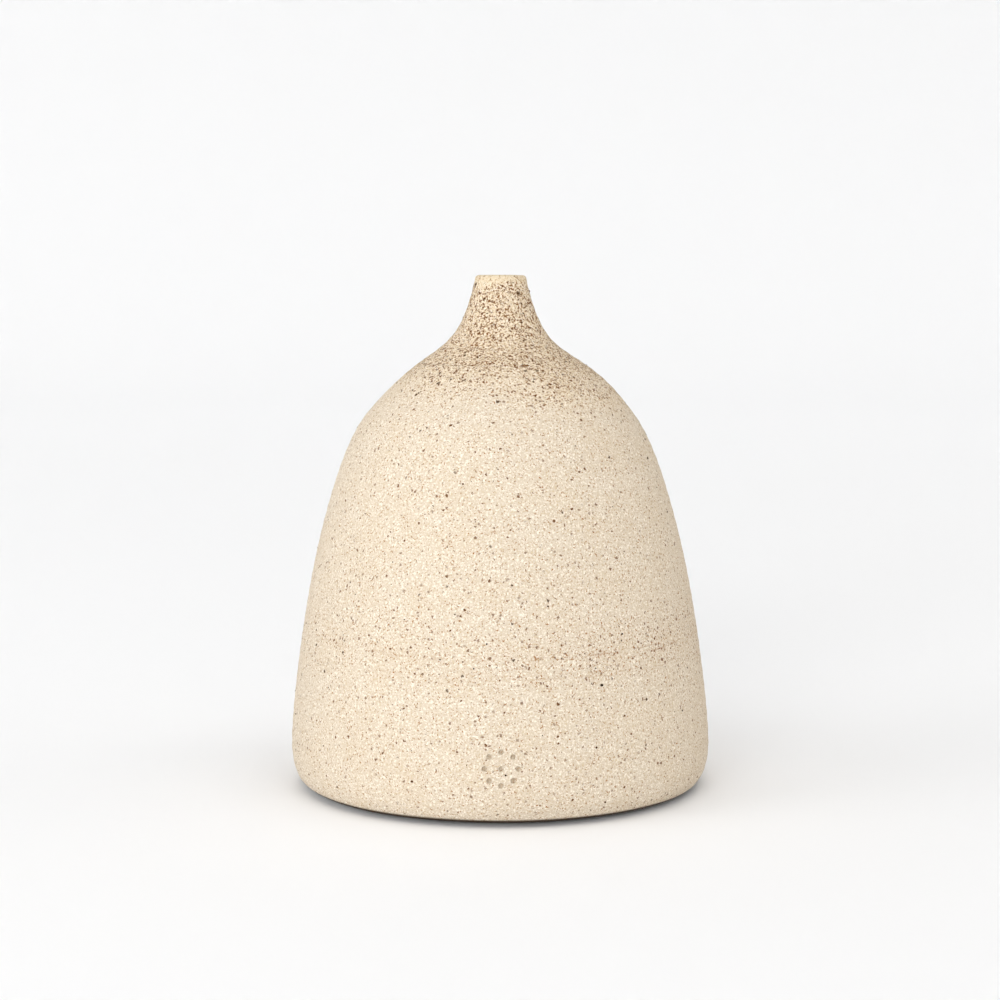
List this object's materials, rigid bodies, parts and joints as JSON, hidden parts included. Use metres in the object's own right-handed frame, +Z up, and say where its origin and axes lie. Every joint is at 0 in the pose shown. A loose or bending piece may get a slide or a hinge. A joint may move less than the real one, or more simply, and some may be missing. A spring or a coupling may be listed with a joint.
{
  "type": "bud vase",
  "caption": "Bell-shaped unglazed stoneware bud vase with a narrow flared neck, a single-stem mouth and a flat foot ring.",
  "frame": {"origin": "centre of the foot ring, on the surface that the vase stands on", "axes": "+Z up along the axis of the vase, -Y towards the front, where the potter's seal is, +X to the right of it"},
  "size_m": [0.107, 0.107, 0.13],
  "materials": {
    "stoneware": "unglazed buff stoneware with fine dark iron flecks, matte and slightly sandy",
    "joining_slip": "fired clay slip, matte, hidden in the laps",
    "liner_glaze": "thin clear to milky liner glaze, glossy"
  },
  "bodies": {
    "root": {"lower_body": "stoneware", "upper_body": "stoneware", "neck": "stoneware", "body_slip_joint": "joining_slip", "neck_slip_joint": "joining_slip", "glaze_lining": "liner_glaze"}
  },
  "joints": []
}
